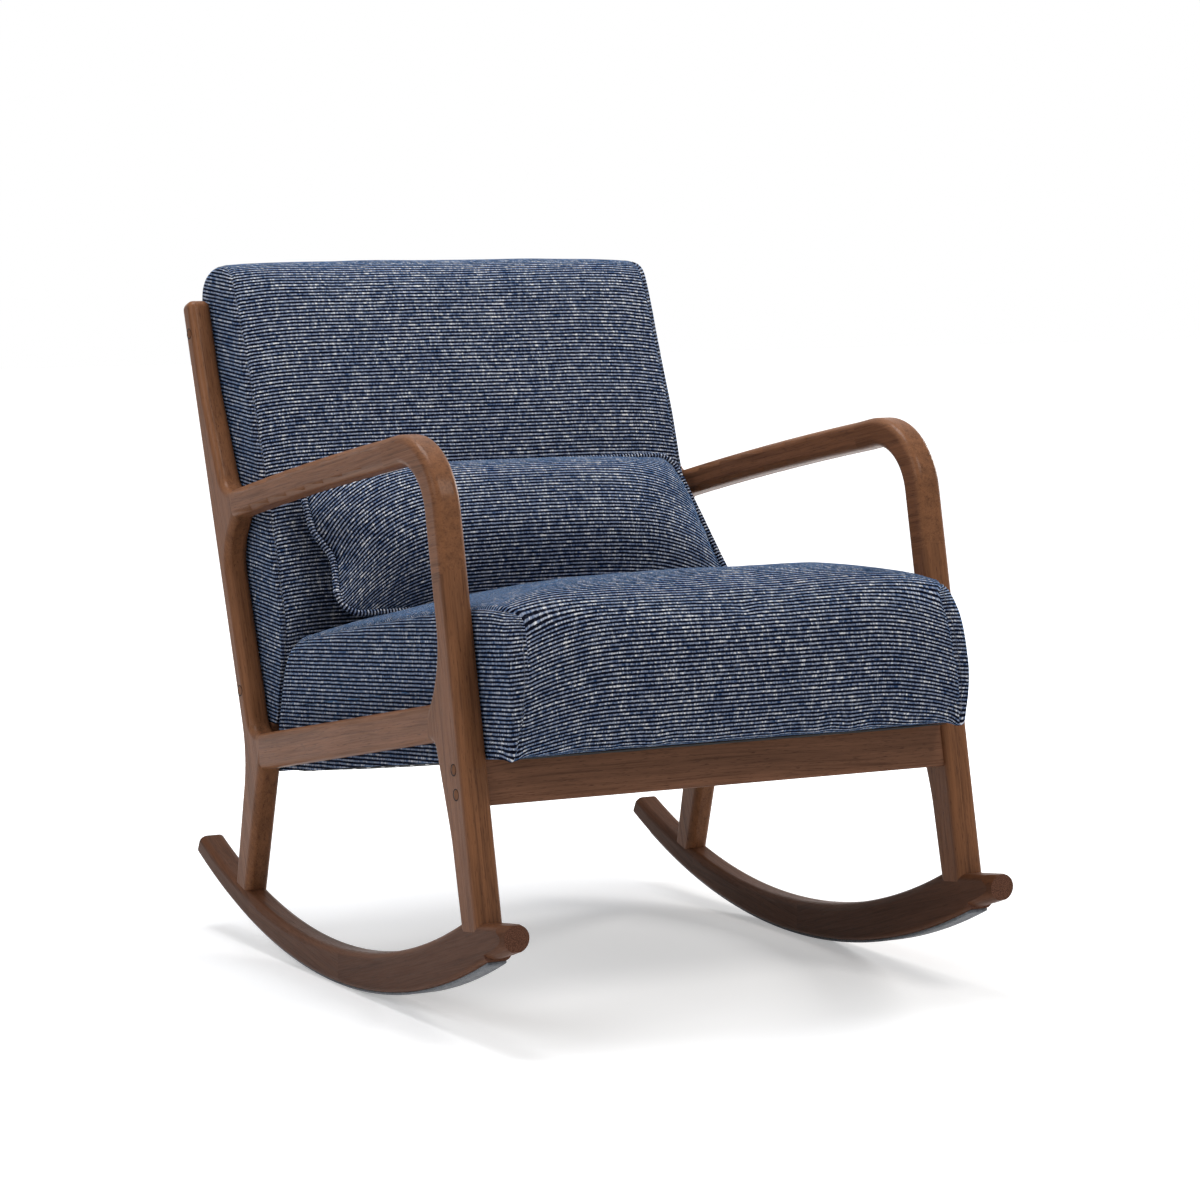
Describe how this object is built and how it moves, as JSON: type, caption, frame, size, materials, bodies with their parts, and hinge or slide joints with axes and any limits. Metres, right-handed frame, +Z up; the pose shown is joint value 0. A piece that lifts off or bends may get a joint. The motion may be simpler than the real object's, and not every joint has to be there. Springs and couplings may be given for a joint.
{
  "type": "rocking chair",
  "caption": "Upholstered rocking armchair with bent wood side frames, three-part rockers, thick sprung seat, padded back and a loose piped lumbar pillow.",
  "frame": {"origin": "on the floor, midway between the side frames, under the middle of the chair's depth, where the rockers touch the floor", "axes": "+Z up, +Y from the chair's front to its back, +X towards the side that is on the right when the chair is seen from the front; nodes named left lie at -X"},
  "size_m": [0.67, 0.9045, 0.8476],
  "materials": {
    "walnut": "satin",
    "plug_wood": "satin",
    "beech": "matte",
    "frame_wood": "matte",
    "felt": "matte",
    "rib_chenille": "matte",
    "pillow_chenille": "matte",
    "piping_cloth": "matte",
    "foam": "matte",
    "rubber_fibre": "matte",
    "webbing": "matte",
    "dust_cloth": "matte",
    "zipper": "matte",
    "spring_steel": "satin",
    "clip_plastic": "matte",
    "zinc_steel": "satin"
  },
  "bodies": {
    "root": {"apron_bolts": "zinc_steel", "arm_dowels": "beech", "armrest_left": "walnut", "armrest_right": "walnut", "back_bottom_rail": "frame_wood", "back_cover": "rib_chenille", "back_foam": "foam", "back_padding": "foam", "back_panel": "rib_chenille", "back_post_left": "walnut", "back_post_right": "walnut", "back_stile_left": "frame_wood", "back_stile_right": "frame_wood", "back_top_rail": "frame_wood", "back_webbing": "webbing", "barrel_nuts": "zinc_steel", "block_screws": "zinc_steel", "dust_cover": "dust_cloth", "foot_dowels": "beech", "front_apron": "walnut", "front_leg_left": "walnut", "front_leg_right": "walnut", "leg_plugs": "plug_wood", "post_bolts": "zinc_steel", "post_plugs": "plug_wood", "rail_dowels": "beech", "rear_rail": "walnut", "rear_rail_dowels": "beech", "rocker_dowels": "beech", "rocker_front_left": "walnut", "rocker_front_right": "walnut", "rocker_middle_left": "walnut", "rocker_middle_right": "walnut", "rocker_pad_left": "felt", "rocker_pad_right": "felt", "rocker_rear_left": "walnut", "rocker_rear_right": "walnut", "seat_bolts": "zinc_steel", "seat_corner_blocks": "frame_wood", "seat_cover": "rib_chenille", "seat_fibre_pad": "rubber_fibre", "seat_foam": "foam", "seat_frame_front": "frame_wood", "seat_frame_rear": "frame_wood", "seat_frame_side_left": "frame_wood", "seat_frame_side_right": "frame_wood", "seat_springs": "spring_steel", "side_rail_left": "walnut", "side_rail_right": "walnut", "spring_clips": "clip_plastic", "threaded_inserts": "zinc_steel", "washers": "zinc_steel"},
    "pillow": {"pillow_fill": "foam", "pillow_front_panel": "pillow_chenille", "pillow_piping": "piping_cloth", "pillow_rear_panel": "pillow_chenille", "pillow_zipper": "zipper"}
  },
  "joints": [
    {"name": "pillow_lift", "type": "slide", "parent": "root", "child": "pillow", "axis": [0, -0.6, 0.8], "range_m": [0, 0.25]}
  ]
}
